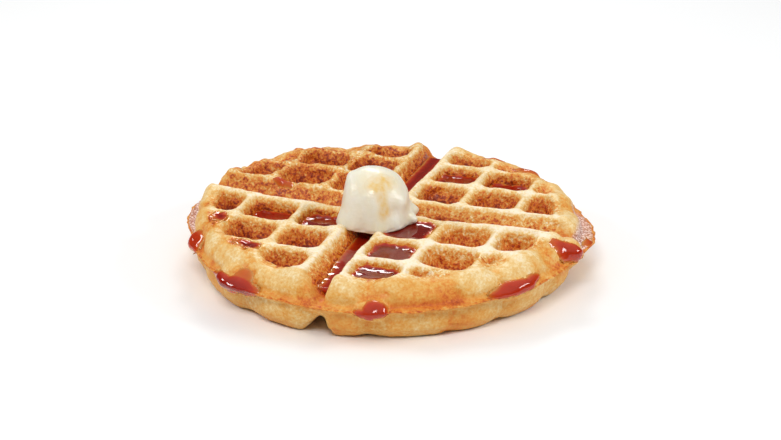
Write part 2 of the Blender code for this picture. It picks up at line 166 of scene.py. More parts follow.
def lattice_of(points):
    """Distances from the two grooves, radius and angle round the waffle, and how much it rises there."""
    across = points[:, 0] - LATTICE_CENTRE[0]
    along = points[:, 1] - LATTICE_CENTRE[1]
    radius = np.hypot(across, along)
    angle = np.degrees(np.arctan2(along, across)) % 360.0
    reach = np.clip(radius - SHORT_SIDE_START, 0.0, None) / (SEAM_RADIUS - SHORT_SIDE_START)
    facing = np.clip(np.cos(np.radians(angle - SHORT_SIDE_ANGLE)), 0.0, None)
    radius = radius * (1.0 + SHORT_SIDE * (reach * facing) ** 2)
    rise = np.where(across < 0.0, LEFT_RISE, RIGHT_RISE) * (across / SEAM_RADIUS) ** 2
    return across, along, radius, angle, rise


def near_angle(angle, middle, width):
    """1 at this angle round the waffle, falling to 0 over the width on both sides."""
    turn = np.abs((angle - middle + 180.0) % 360.0 - 180.0)
    return 1.0 - ramp_up(turn, 0.0, width)


crust = bpy.data.objects.new("crust", frame["nodes"]["waffle"].data.copy())
bpy.context.scene.collection.objects.link(crust)
make_active(crust)
bpy.ops.object.mode_set(mode="EDIT")
bpy.ops.mesh.select_all(action="SELECT")
bpy.ops.mesh.remove_doubles(threshold=WELD)
bpy.ops.object.mode_set(mode="OBJECT")
apply_modifier(crust, "one_skin", "REMESH", mode="VOXEL", voxel_size=CRUST_VOXEL)
apply_modifier(crust, "soft_corners", "SMOOTH", factor=0.5, iterations=CRUST_SMOOTHING)

shape = points_of(crust.data)
hidden_half = crust.vertex_groups.new(name="under_face")
is_under = shape[:, 2] < UNDER_FACE_TOP
for share, group in ((1.0, is_under), (THINNING_ABOVE, ~is_under)):
    hidden_half.add([int(index) for index in np.flatnonzero(group)], share, "REPLACE")
crust.data.calc_loop_triangles()
keep_share = min(1.0, CRUST_TRIANGLES / len(crust.data.loop_triangles))
if keep_share < 1.0:
    apply_modifier(crust, "fewer_under", "DECIMATE", ratio=keep_share, vertex_group="under_face")

shape = points_of(crust.data)
facing = normals_of(crust.data)
across, along, radius, angle, rise = lattice_of(shape)
below_ribs = CREST_HEIGHT + rise - shape[:, 2]
from_seam = shape[:, 2] - rise / 2.0 - SEAM_HEIGHT
above_seam = ramp_up(from_seam, -0.0010, 0.0016)
outer_wall = ramp_up(radius, CREST_RADIUS - 0.0004, CREST_RADIUS + 0.0030)
pocket_side = (1.0 - outer_wall) * ramp_up(below_ribs, 0.0006, 0.0030)

# The outer wall puffs out in pale panels, each an angle and a half width, with golden folds between
PANELS = (
    (10.0, 9.0), (34.0, 9.0), (57.0, 9.0), (79.0, 8.0), (101.0, 8.0), (123.0, 9.0),
    (146.0, 9.0), (168.0, 8.0), (190.0, 8.0), (209.0, 6.0), (226.0, 5.0), (237.0, 8.0),
    (259.0, 10.0), (278.0, 7.0), (298.0, 12.0), (316.0, 8.0), (333.0, 10.0), (352.0, 6.0),
)
in_panel = np.zeros(len(shape))
for middle, half_width in PANELS:
    in_panel = np.maximum(in_panel, near_angle(angle, middle, half_width * 1.35))
in_panel = ramp_up(in_panel + 0.24 * waves(shape, 0.0070, 9), 0.05, 0.70)
away_from_seam = ramp_up(np.abs(from_seam), 0.0008, 0.0050)
back_left = ramp_up(-across, 0.000, 0.016) * ramp_up(along, 0.000, 0.014)

# How high each kind of unevenness of the crust is, in metres. The crumb is coarsest in the pockets
# and on the back left quarter, and finest on the panels of the outer wall.
PILLOW = 0.00042
RIPPLE = 0.00022
GRAIN = 0.00034
CRUMB_HOLES = 0.00045
LUMPS = 0.00075
BROAD_LUMPS = 0.00090
PANEL_PUFF = 0.0017
FOLD_DEPTH = 0.0010

pillow = PILLOW * waves(shape, 0.0105, 1) + RIPPLE * waves(shape, 0.0052, 2)
grain = waves(shape, 0.0021, 3)
crumb = np.abs(waves(shape, 0.0029, 4))
lumps = waves(shape, 0.0043, 10)
coarse = (0.34 + 0.66 * pocket_side) * (1.0 - outer_wall) + (0.34 - 0.16 * in_panel) * outer_wall
coarse = np.clip(coarse + 0.55 * back_left, 0.0, 1.0)
relief = pillow + GRAIN * grain * (0.2 + coarse)
relief -= CRUMB_HOLES * ramp_up(crumb, 0.30, 0.65) * coarse
relief += (LUMPS * lumps + BROAD_LUMPS * waves(shape, 0.0088, 14)) * back_left
relief += outer_wall * away_from_seam * (PANEL_PUFF * in_panel - FOLD_DEPTH)
shape += facing * relief[:, None]
# Places where the rim is lower or higher: across and along from the middle, reach and rise, in metres
RIM_RISES = (
    (-0.0650, 0.0395, 0.0060, -0.0034),
    (-0.0390, 0.0665, 0.0062, -0.0036),
    (-0.0150, 0.0760, 0.0050, -0.0016),
    (-0.0655, -0.0405, 0.0040, 0.0012),
    (-0.0615, -0.0475, 0.0046, 0.0026),
    (-0.0475, -0.0600, 0.0038, 0.0012),
    (-0.0410, -0.0655, 0.0046, 0.0026),
    (-0.0335, -0.0655, 0.0034, 0.0012),
)
for place_x, place_y, reach, more in RIM_RISES:
    near = np.exp(-((across - place_x) ** 2 + (along - place_y) ** 2) / reach ** 2)
    shape[:, 2] += more * near * ramp_up(shape[:, 2], 0.018, 0.0235) * (1.0 + 0.25 * grain)
shape[:, 2] = np.maximum(shape[:, 2], cad_low.z)
set_points(crust.data, shape)
set_value(crust.data, "coarse", coarse)

# How far each place is browned, from pale batter at 0 to dark toast at 1, with painted light mixed in.
# Crests are the palest, partly as a painted highlight, and pockets darken with depth, partly as painted
# shade in the hollows. The back left quarter is toasted on its ribs too, and the front right quarter is the
# palest.
depth_share = np.clip(below_ribs / POCKET_DEPTH, 0.0, 1.2)
toast_and_shade = 0.10 + 0.37 * ramp_up(depth_share, 0.0, 0.22) + 0.29 * ramp_up(depth_share, 0.15, 0.85)
toast_and_shade += back_left * (0.22 - 0.30 * ramp_up(depth_share, 0.1, 0.8))
toast_and_shade += 0.08 * ramp_up(along, 0.0, 0.04) * ramp_up(depth_share, 0.1, 0.5)
toast_and_shade -= 0.11 * ramp_up(across - along, 0.0, 0.10) * (1.0 - back_left)
toast_and_shade += 0.05 * ramp_up(-across, 0.0, 0.03) * ramp_up(depth_share, 0.1, 0.4) * (1.0 - back_left)
toast_and_shade += 0.05 * lumps * back_left
# Stretches of the outer wall that are browner or paler: an angle, a half width, and how much
GOLDEN_WALLS = (
    (120.0, 110.0, 0.16),
    (206.0, 14.0, 0.08),
    (301.0, 17.0, 0.19),
    (336.0, 3.0, 0.10),
    (326.0, 22.0, -0.07),
)
wall_brown = 0.54 - 0.22 * in_panel
for middle, half_width, more in GOLDEN_WALLS:
    wall_brown = wall_brown + more * near_angle(angle, middle, half_width)
wall_brown = wall_brown - 0.12 * ramp_up(from_seam, 0.0045, 0.0105)
wall_brown = wall_brown + 0.18 * (1.0 - ramp_up(from_seam, 0.0006, 0.0040))
toast_and_shade = toast_and_shade * (1.0 - outer_wall) + wall_brown * outer_wall
under = 1.0 - above_seam
pocket_below = ramp_up(POCKET_DEPTH - shape[:, 2], 0.002, 0.0) * (1.0 - outer_wall)
under_brown = 0.40 + 0.16 * waves(shape, 0.0120, 11) + 0.08 * waves(shape, 0.0040, 12) + 0.30 * pocket_below
toast_and_shade = toast_and_shade * (1.0 - under) + under_brown * under
toast_and_shade += 0.06 * waves(shape, 0.0160, 5) + 0.05 * waves(shape, 0.0060, 6)
set_value(crust.data, "toast_and_shade", np.clip(toast_and_shade, 0.0, 1.0))

# Lace of overflowed batter lies on the seam at both sides
lace = np.maximum(near_angle(angle, 190.0, 26.0), near_angle(angle, 12.0, 20.0))
lace = ramp_up(lace, 0.0, 0.4) * ramp_up(radius, SEAM_RADIUS - 0.0050, SEAM_RADIUS - 0.0030) * above_seam
set_value(crust.data, "lace", lace)


def tree_of(obj):
    bm = bmesh.new()
    bm.from_mesh(obj.data)
    made = BVHTree.FromBMesh(bm)
    bm.free()
    return made


# Crumb next to syrup is soaked, and less so farther from it
SOAK_REACH = 0.0042
syrup_trees = {name: tree_of(node) for name, node in frame["nodes"].items() if name.startswith("syrup_")}
soaked = np.zeros(len(shape))
for syrup_tree in syrup_trees.values():
    for index, spot in enumerate(shape):
        near = syrup_tree.find_nearest(Vector(spot), SOAK_REACH * 1.5)[3]
        if near is not None:
            soaked[index] = max(soaked[index], 1.0 - near / SOAK_REACH)
# Thin syrup also ran down the wall here: an angle, a half width, and the lowest and highest place
RUNS = (
    (286.5, 4.4, 0.0140, 0.0250),
    (246.0, 4.5, 0.0150, 0.0240),
    (216.0, 4.0, 0.0150, 0.0225),
    (350.0, 5.0, 0.0170, 0.0270),
)
RUN_FADE = 0.002
RUN_STAIN = 0.22
for middle, half_width, lowest, highest in RUNS:
    run = ramp_up(near_angle(angle, middle, half_width * 1.6), 0.1, 0.5)
    run = run * ramp_up(shape[:, 2], lowest, lowest + RUN_FADE)
    run = run * (1.0 - ramp_up(shape[:, 2], highest - RUN_FADE, highest))
    soaked = np.maximum(soaked, RUN_STAIN * run * ramp_up(radius, CREST_RADIUS - 0.004, CREST_RADIUS - 0.001))
# Wet places where syrup splashed and soaked in: across, along and reach, in metres
WET_SPOTS = (
    (0.0558, -0.0411, 0.0040),
    (0.0238, -0.0751, 0.0036),
    (-0.0514, 0.0094, 0.0050),
    (-0.0426, 0.0102, 0.0040),
    (-0.0620, 0.0377, 0.0060),
    (-0.0372, 0.0651, 0.0060),
    (-0.0300, 0.0480, 0.0060),
    (0.0445, 0.0661, 0.0050),
    (0.0303, 0.0738, 0.0040),
    (0.0150, 0.0300, 0.0050),
    (-0.0560, -0.0545, 0.0036),
)
splashed = 0.35 + 0.65 * ramp_up(waves(shape, 0.0034, 13), -0.35, 0.25)
for spot_x, spot_y, reach in WET_SPOTS:
    near = np.exp(-((across - spot_x) ** 2 + (along - spot_y) ** 2) / reach ** 2)
    soaked = np.maximum(soaked, 0.8 * near * splashed * above_seam)
soaked = np.clip(soaked + 0.25 * waves(shape, 0.0025, 8) * (soaked > 0.0), 0.0, 1.0)
set_value(crust.data, "soaked", soaked)


def paint(red, green, blue):
    """A colour as seen on a screen, 0 to 255, as Blender's linear colour."""
    shares = [value / 255.0 for value in (red, green, blue)]
    linear = [s / 12.92 if s <= 0.04045 else ((s + 0.055) / 1.055) ** 2.4 for s in shares]
    return (*linear, 1.0)


def new_finish(name):
    made = bpy.data.materials.new(name)
    made.use_nodes = True
    tree = made.node_tree
    return made, tree, tree.nodes["Principled BSDF"]


def add_node(tree, kind, **values):
    """A shader node; a value whose name starts with a small letter is a setting, else a socket."""
    made = tree.nodes.new(kind)
    for name, value in values.items():
        if name[0].islower():
            setattr(made, name, value)
        elif hasattr(value, "is_output"):
            tree.links.new(value, made.inputs[name.replace("_", " ")])
        else:
            made.inputs[name.replace("_", " ")].default_value = value
    return made


def colour_ramp(tree, factor, stops):
    made = add_node(tree, "ShaderNodeValToRGB", Fac=factor)
    ramp = made.color_ramp
    ramp.interpolation = "LINEAR"
    while len(ramp.elements) < len(stops):
        ramp.elements.new(0.5)
    for element, (place, colour) in zip(ramp.elements, stops):
        element.position = place
        element.color = colour
    return made.outputs["Color"]


def maths(tree, operation, first, second=0.0, clamp=False):
    made = add_node(tree, "ShaderNodeMath", operation=operation, use_clamp=clamp)
    for socket, value in zip(made.inputs, (first, second)):
        if hasattr(value, "is_output"):
            tree.links.new(value, socket)
        else:
            socket.default_value = value
    return made.outputs["Value"]


def mix_colour(tree, factor, first, second):
    made = add_node(tree, "ShaderNodeMix", data_type="RGBA", blend_type="MIX")
    for socket, value in zip((made.inputs[0], made.inputs[6], made.inputs[7]), (factor, first, second)):
        if hasattr(value, "is_output"):
            tree.links.new(value, socket)
        else:
            socket.default_value = value
    return made.outputs[2]


def noise_of(tree, place, scale, detail=2.0, roughness=0.5):
    made = add_node(tree, "ShaderNodeTexNoise", Scale=scale, Detail=detail, Roughness=roughness, Vector=place)
    return made.outputs["Fac"]


def value_of(tree, name):
    return add_node(tree, "ShaderNodeAttribute", attribute_name=name).outputs["Fac"]


# From pale batter to dark toast; on the crests and deep in the pockets these also give a painted highlight
# and painted shade
CRUST_TONES = (
    (0.00, paint(250, 234, 206)),
    (0.14, paint(243, 218, 166)),
    (0.28, paint(233, 192, 120)),
    (0.42, paint(227, 166, 76)),
    (0.56, paint(222, 137, 46)),
    (0.70, paint(210, 106, 31)),
    (0.84, paint(180, 75, 24)),
    (1.00, paint(132, 48, 18)),
)

crust_finish, tree, shader = new_finish("baked_crust")
place = add_node(tree, "ShaderNodeTexCoord").outputs["Object"]
grains = noise_of(tree, place, 900.0, 3.0, 0.65)
patches = noise_of(tree, place, 330.0, 2.0)
fine = noise_of(tree, place, 2600.0, 2.0)
coarse_here = value_of(tree, "coarse")
patchy = maths(tree, "MULTIPLY", maths(tree, "SUBTRACT", patches, 0.5), 0.55)
speckle = maths(tree, "ADD", maths(tree, "SUBTRACT", grains, 0.5), patchy)
contrast = maths(tree, "ADD", maths(tree, "MULTIPLY", coarse_here, 1.45), 0.30)
speckle = maths(tree, "MULTIPLY", speckle, contrast)
# The tone follows the toasting, with a painted highlight on the crests and painted shade deep in the pockets
tone = maths(tree, "ADD", value_of(tree, "toast_and_shade"), speckle)
wet = value_of(tree, "soaked")
tone = maths(tree, "ADD", tone, maths(tree, "MULTIPLY", wet, 0.20))
baked = colour_ramp(tree, tone, CRUST_TONES)
bubbles = add_node(tree, "ShaderNodeTexVoronoi", Scale=1000.0, Vector=place).outputs["Distance"]
bubbles = maths(tree, "MULTIPLY", maths(tree, "SUBTRACT", bubbles, 0.25), 2.6, True)
LACE_TONES = (
    (0.0, paint(250, 238, 232)),
    (0.6, paint(226, 184, 168)),
    (1.0, paint(170, 112, 96)),
)
laced = colour_ramp(tree, bubbles, LACE_TONES)
baked = mix_colour(tree, value_of(tree, "lace"), baked, laced)
tree.links.new(baked, shader.inputs["Base Color"])
dull = maths(tree, "ADD", maths(tree, "MULTIPLY", fine, 0.25), 0.42)
dull = maths(tree, "SUBTRACT", dull, maths(tree, "MULTIPLY", wet, 0.55), True)
dull = maths(tree, "MAXIMUM", dull, 0.06)
tree.links.new(dull, shader.inputs["Roughness"])
bumps = maths(tree, "MULTIPLY", maths(tree, "ADD", grains, patches), maths(tree, "ADD", coarse_here, 0.15))
bumps = maths(tree, "MULTIPLY", bumps, maths(tree, "SUBTRACT", 1.0, maths(tree, "MULTIPLY", wet, 0.6), True))
relief_node = add_node(tree, "ShaderNodeBump", Strength=0.9, Distance=0.0006, Height=bumps)
tree.links.new(relief_node.outputs["Normal"], shader.inputs["Normal"])
shader.inputs["Specular IOR Level"].default_value = 0.4
crust.data.materials.clear()
crust.data.materials.append(crust_finish)
make_active(crust)
bpy.ops.object.shade_smooth()
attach(crust, "root")
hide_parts("waffle")


# The seam: a thin crisp fin of batter that squeezed out between the halves of the iron and
# toasted. It grows from the wall all round, and its edge is ragged.
LIP_SEGMENTS = 256
LIP_SIDES = 12
# The lip is shaped from a torus with a ring of radius 1 and a tube of this radius
LIP_TUBE = 0.1
# How far the lip reaches into the wall, and how far it stands out of it
LIP_ROOT = 0.0030
LIP_PROUD = 0.0009
LIP_DROOP = 0.0005
LIP_HALF_THICKNESS = 0.00075
LIP_BROWN = 0.62
LIP_COARSE = 0.55
# The wall is felt for all round, at a few heights about the seam, and the result is evened out
WALL_STEPS = 900
WALL_PROBES = (-0.0006, 0.0, 0.0006)
WALL_SMOOTHING = 6
OUTSIDE = 0.1300

crust_tree = tree_of(crust)


def wall_from_outside(turn, height, tree=crust_tree):
    """Where a level ray from outside first meets the crust, or None."""
    outward = Vector((math.cos(turn), math.sin(turn), 0.0))
    start = Vector((*LATTICE_CENTRE, height)) + outward * OUTSIDE
    return tree.ray_cast(start, -outward)[0]


def seam_height(x, y):
    rise = (LEFT_RISE if x < LATTICE_CENTRE[0] else RIGHT_RISE) * ((x - LATTICE_CENTRE[0]) / SEAM_RADIUS) ** 2
    return SEAM_HEIGHT + rise / 2.0


deselect_all()
bpy.ops.mesh.primitive_torus_add(
    major_segments=LIP_SEGMENTS,
    minor_segments=LIP_SIDES,
    major_radius=1.0,
    minor_radius=LIP_TUBE,
)
lip = bpy.context.active_object
lip.name = "seam_lip"
rim_radius = []
for step in range(WALL_STEPS):
    turn = 2.0 * math.pi * step / WALL_STEPS
    guess = Vector((*LATTICE_CENTRE, 0.0)) + SEAM_RADIUS * Vector((math.cos(turn), math.sin(turn), 0.0))
    hits = [wall_from_outside(turn, seam_height(guess.x, guess.y) + lift) for lift in WALL_PROBES]
    reach = [math.hypot(hit.x - LATTICE_CENTRE[0], hit.y - LATTICE_CENTRE[1]) for hit in hits if hit]
    rim_radius.append(max(reach) if reach else SEAM_RADIUS)
shifts = range(-WALL_SMOOTHING, WALL_SMOOTHING + 1)
rim_radius = [
    sum(rim_radius[(step + shift) % WALL_STEPS] for shift in shifts) / len(shifts)
    for step in range(WALL_STEPS)
]
lip_brown = []
for vert in lip.data.vertices:
    turn = math.atan2(vert.co.y, vert.co.x) % (2.0 * math.pi)
    radial = (math.hypot(vert.co.x, vert.co.y) - 1.0) / LIP_TUBE
    upward = vert.co.z / LIP_TUBE
    base = rim_radius[round(turn / (2.0 * math.pi) * WALL_STEPS) % WALL_STEPS]
    outward = Vector((math.cos(turn), math.sin(turn), 0.0))
    edge = outward * base
    ragged = noise.noise(edge / 0.0016) + 0.8 * noise.noise(edge / 0.0050 + Vector((4.0, 0.0, 0.0)))
    proud = LIP_PROUD * (1.0 + 0.9 * ragged)
    share = (radial + 1.0) / 2.0
    spot = Vector((*LATTICE_CENTRE, 0.0)) + outward * (base - LIP_ROOT + share * (LIP_ROOT + proud))
    droop = LIP_DROOP * noise.noise(edge / 0.0090 + Vector((0.0, 9.0, 0.0))) * share
    taper = 1.0 - 0.45 * share
    spot.z = seam_height(spot.x, spot.y) + droop + upward * LIP_HALF_THICKNESS * taper
    vert.co = spot
    lip_brown.append(LIP_BROWN - 0.34 * max(ragged, 0.0) * share)
set_value(lip.data, "toast_and_shade", lip_brown)
set_value(lip.data, "coarse", [LIP_COARSE] * len(lip_brown))
lip.data.materials.append(crust_finish)
lip.data.shade_smooth()
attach(lip, "root")
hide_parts("waffle")


# The syrup in the pockets and grooves: amber syrup poured over the waffle, level in each hollow,
# creeping a little up the crumb at its edge. It is thin and orange there, dark where it is deep.
POOL_STEP = 0.00055
# A pool's sheet is cut out this far past its solid, the syrup may spread this far from the solid,
# and its underside lies this deep in the crumb
POOL_MARGIN = 0.0026
POOL_SPREAD = 0.0008
POOL_WALL = 0.0004
# How high the syrup creeps up the crumb, how fast that fades away from it, and its share in a groove
CREEP = 0.0009
CREEP_REACH = 0.0014
GROOVE_CREEP_SHARE = 0.3
# The syrup of the front groove sinks towards the rim, between two distances in front of the middle
GROOVE_SINK = 0.0012
GROOVE_SINK_FROM = 0.030
GROOVE_SINK_TO = 0.078
SURFACE_WAVE = 0.00010
SURFACE_SMOOTHING = 4
# Syrup this deep has its darkest colour
DEEPEST = 0.0060

DOWN = Vector((0.0, 0.0, -1.0))
ABOVE_ALL = 0.060


def floor_height(x, y):
    hit = crust_tree.ray_cast(Vector((x, y, ABOVE_ALL)), DOWN)[0]
    return hit.z if hit else 0.0


# From a thin film to deep syrup
SYRUP_TONES = (
    (0.00, paint(244, 184, 100)),
    (0.12, paint(234, 126, 44)),
    (0.30, paint(216, 64, 20)),
    (0.60, paint(182, 36, 10)),
    (1.00, paint(140, 24, 6)),
)
syrup_finish, tree, shader = new_finish("poured_syrup")
place = add_node(tree, "ShaderNodeTexCoord").outputs["Object"]
cloud = noise_of(tree, place, 240.0, 2.0)
cloud = maths(tree, "MULTIPLY", maths(tree, "SUBTRACT", cloud, 0.5), 0.12)
deep = maths(tree, "ADD", value_of(tree, "deep"), cloud)
tree.links.new(colour_ramp(tree, deep, SYRUP_TONES), shader.inputs["Base Color"])
shader.inputs["Roughness"].default_value = 0.05
shader.inputs["IOR"].default_value = 1.5
shader.inputs["Transmission Weight"].default_value = 0.35


def finish_syrup(made, bm, bottom_of, node):
    """Give an open sheet of syrup its underside, so that it is a closed solid, and its material."""
    under = bmesh.ops.extrude_face_region(bm, geom=bm.faces[:], use_keep_orig=True)
    for vert in [item for item in under["geom"] if isinstance(item, bmesh.types.BMVert)]:
        vert.co = bottom_of(vert.co)
    bmesh.ops.recalc_face_normals(bm, faces=bm.faces[:])
    bm.to_mesh(made.data)
    bm.free()
    made.data.materials.append(syrup_finish)
    made.data.shade_smooth()
    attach(made, "root")
    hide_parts(node)


def open_sheet(name, columns, rows):
    """A flat grid, its mesh open for shaping, and the layer that holds how deep the syrup is."""
    deselect_all()
    bpy.ops.mesh.primitive_grid_add(x_subdivisions=columns, y_subdivisions=rows, size=1.0)
    made = bpy.context.active_object
    made.name = name
    bm = bmesh.new()
    bm.from_mesh(made.data)
    return made, bm, bm.verts.layers.float.new("deep")


def pool(name, low, high, level, node):
    """Syrup that lies level in a hollow of the crust, between two corners."""
    creep = CREEP * (GROOVE_CREEP_SHARE if "groove" in name else 1.0)
    columns, rows = [max(int((high[axis] - low[axis]) / POOL_STEP), 4) for axis in (0, 1)]
    made, bm, layer = open_sheet(name, columns, rows)
    floors = {}
    far = set()
    for vert in bm.verts:
        vert.co.x = low[0] + (vert.co.x + 0.5) * (high[0] - low[0])
        vert.co.y = low[1] + (vert.co.y + 0.5) * (high[1] - low[1])
        vert.co.z = level
        floors[vert] = floor_height(vert.co.x, vert.co.y)
        if syrup_trees[node].find_nearest(vert.co)[3] > POOL_SPREAD:
            far.add(vert)
        if name == "pool_groove_front":
            vert.co.z -= GROOVE_SINK * float(ramp_up(-vert.co.y, GROOVE_SINK_FROM, GROOVE_SINK_TO))
    dry = [
        face
        for face in bm.faces
        if min(floors[vert] for vert in face.verts) > level + CREEP / 2.0
        or all(vert in far for vert in face.verts)
    ]
    bmesh.ops.delete(bm, geom=dry, context="FACES")
    for vert in bm.verts:
        near = crust_tree.find_nearest(vert.co)[3] if floors[vert] < vert.co.z else 0.0
        ragged = 0.9 + 1.1 * noise.noise(vert.co / 0.0017)
        vert.co.z += creep * math.exp(-near / CREEP_REACH) * ragged
        vert.co.z += SURFACE_WAVE * noise.noise(vert.co / 0.0065)
        vert[layer] = min(max(vert.co.z - floors[vert], 0.0) / DEEPEST, 1.0)
    for _ in range(SURFACE_SMOOTHING):
        bmesh.ops.smooth_vert(bm, verts=bm.verts[:], factor=0.5, use_axis_z=True)

    def floor_under(co):
        return Vector((co.x, co.y, min(floor_height(co.x, co.y), co.z) - POOL_WALL))

    finish_syrup(made, bm, floor_under, node)


for node in sorted(frame["nodes"]):
    if node.startswith("syrup_"):
        low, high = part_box(node)
        pool(
            node.replace("syrup", "pool"),
            (low.x - POOL_MARGIN, low.y - POOL_MARGIN),
            (high.x + POOL_MARGIN, high.y + POOL_MARGIN),
            high.z,
            node,
        )


# The thick drips: syrup that ran over the rim and hangs on the outer wall down to the seam. Each is
# a round swell of syrup, or a few that have run together, thick in the middle and rounded at the edge.
# A swell: place along the wall, height, half width, half height, thickness, all in millimetres
DRIPS = {
    "drip_left": (216.0, ((0.0, 18.8, 5.0, 4.0, 1.4), (2.5, 16.6, 3.6, 2.8, 1.3))),
    "drip_front_left": (244.0, (
        (-11.6, 14.0, 4.4, 2.2, 1.2),
        (-4.4, 14.6, 8.0, 4.0, 2.6),
        (4.4, 15.0, 8.4, 4.1, 2.7),
        (10.6, 15.2, 4.4, 2.6, 1.2),
        (-2.4, 11.4, 3.6, 2.2, 1.4),
        (4.8, 18.8, 4.8, 3.0, 0.7),
    )),
    "drip_front": (286.5, (
        (1.2, 16.2, 5.0, 3.2, 1.8),
        (-4.4, 14.6, 3.4, 1.8, 1.3),
        (-1.2, 13.2, 1.8, 2.2, 1.3),
        (4.6, 14.8, 2.0, 1.5, 1.1),
    )),
    "drip_front_right": (327.0, (
        (0.0, 17.4, 9.8, 2.7, 1.8),
        (-8.0, 16.4, 5.2, 1.9, 1.3),
        (8.0, 18.2, 6.0, 1.7, 1.3),
    )),
    "drip_right": (351.0, (
        (0.0, 20.4, 5.2, 4.0, 1.7),
        (3.0, 18.6, 3.4, 3.2, 1.6),
        (-1.5, 23.4, 3.0, 2.6, 1.2),
    )),
    "drip_lace_right": (5.5, ((0.0, 16.4, 3.6, 1.2, 0.9),)),
}
MILLIMETRE = 0.001
DRIP_STEP = 0.0004
DRIP_SPARE = 0.5
DRIP_SMOOTHING = 7
WALL_ARC_RADIUS = 0.0850
# The underside of the syrup lies this deep in the crust, and its edge dips in by a share of that
SINK = 0.0006
EDGE_TUCK = 0.3
# Syrup this thick on the wall has its darkest colour
THICK_AS_DEEP = 0.0037
# The syrup bridges the dents of the wall that lie within these heights
BRIDGES = (0.0008, 0.0016, 0.0026)
# It stands off the wall outwards and this much upwards, square to the slope of the wall
LEAN_UP = 0.3


def thickness_at(across, up, swells):
    """Thickness of syrup where round swells run together."""
    total = 0.0
    for middle, height, half_width, half_height, thickness in swells:
        reach = ((across - middle) / half_width) ** 2 + ((up - height) / half_height) ** 2
        if reach < 1.0:
            total += (thickness * math.sqrt(1.0 - reach)) ** 3
    return total ** (1.0 / 3.0) * MILLIMETRE


def sheet_of_syrup(name, columns, rows, base_of, thick_of):
    """Syrup on a surface: a grid whose points stand off their base by the thickness there."""
    made, bm, layer = open_sheet(name, columns, rows)
    bases, thick = {}, {}
    for vert in bm.verts:
        share_x, share_y = vert.co.x + 0.5, vert.co.y + 0.5
        base, normal = base_of(share_x, share_y)
        bases[vert] = base
        thick[vert] = thick_of(share_x, share_y) if base else 0.0
        if base:
            edge = min(thick[vert] / SINK, 1.0)
            vert.co = base + normal * (thick[vert] - EDGE_TUCK * SINK * (1.0 - edge))
            vert[layer] = min(thick[vert] / THICK_AS_DEEP, 1.0)
    bare = [
        face
        for face in bm.faces
        if max(thick[vert] for vert in face.verts) <= 0.0
        or not all(bases[vert] for vert in face.verts)
    ]
    bmesh.ops.delete(bm, geom=bare, context="FACES")
    inner = [vert for vert in bm.verts if not vert.is_boundary]
    for _ in range(DRIP_SMOOTHING):
        bmesh.ops.smooth_vert(bm, verts=inner, factor=0.5, use_axis_x=True, use_axis_y=True, use_axis_z=True)

    def inside_crust(co):
        spot, normal = crust_tree.find_nearest(co)[:2]
        return spot - normal * SINK

    finish_syrup(made, bm, inside_crust, "waffle")


lip_tree = tree_of(lip)


def reach_of(turn, height):
    """How far out the crust or its lip stands, at an angle and a height."""
    reach = 0.0
    for tree in (crust_tree, lip_tree):
        hit = wall_from_outside(turn, height, tree)
        if hit is not None:
            reach = max(reach, math.hypot(hit.x - LATTICE_CENTRE[0], hit.y - LATTICE_CENTRE[1]))
    return reach


for name, (middle, swells) in DRIPS.items():
    left = min(swell[0] - swell[2] for swell in swells) - DRIP_SPARE
    right = max(swell[0] + swell[2] for swell in swells) + DRIP_SPARE
    bottom = min(swell[1] - swell[3] for swell in swells) - DRIP_SPARE
    top = max(swell[1] + swell[3] for swell in swells) + DRIP_SPARE

    def wall_at(share_x, share_y):
        arc = (left + share_x * (right - left)) * MILLIMETRE
        height = (bottom + share_y * (top - bottom)) * MILLIMETRE
        turn = math.radians(middle) + arc / WALL_ARC_RADIUS
        here = reach_of(turn, height)
        if here < CREST_RADIUS - 0.002:
            return None, None
        for span in BRIDGES:
            here = max(here, (reach_of(turn, height - span) + reach_of(turn, height + span)) / 2.0)
        outward = Vector((math.cos(turn), math.sin(turn), 0.0))
        spot = Vector((*LATTICE_CENTRE, height)) + outward * here
        return spot, (outward + Vector((0.0, 0.0, LEAN_UP))).normalized()

    def thick_here(share_x, share_y):
        return thickness_at(left + share_x * (right - left), bottom + share_y * (top - bottom), swells)

    columns = int((right - left) * MILLIMETRE / DRIP_STEP)
    rows = int((top - bottom) * MILLIMETRE / DRIP_STEP)
    sheet_of_syrup(name, columns, rows, wall_at, thick_here)


# The glaze: a thin coat of syrup left where it ran over the rim and the ribs. It is made of swells
# too, but they lie on top of the crust.
# A swell: place across and along, its two half widths and its thickness, all in millimetres
GLAZES = {
    "glaze_back_right": (
        (49.8, 64.0, 5.2, 2.6, 0.9),
        (45.6, 66.0, 3.6, 1.6, 0.6),
    ),
    "glaze_back_rim": (
        (31.5, 73.2, 5.0, 1.5, 0.8),
        (26.5, 74.6, 3.0, 1.2, 0.6),
    ),
    "glaze_left_rib": (
        (-51.4, 9.4, 3.4, 2.2, 1.1),
        (-47.8, 8.6, 2.4, 1.4, 0.8),
        (-54.6, 9.6, 1.8, 1.3, 0.8),
    ),
    "glaze_front_rib": (
        (52.4, -42.8, 1.9, 0.8, 0.4),
        (55.4, -41.4, 2.3, 0.8, 0.45),
        (58.6, -41.8, 2.0, 0.8, 0.4),
    ),
}
GLAZE_STEP = 0.0004
GLAZE_SPARE = 0.4
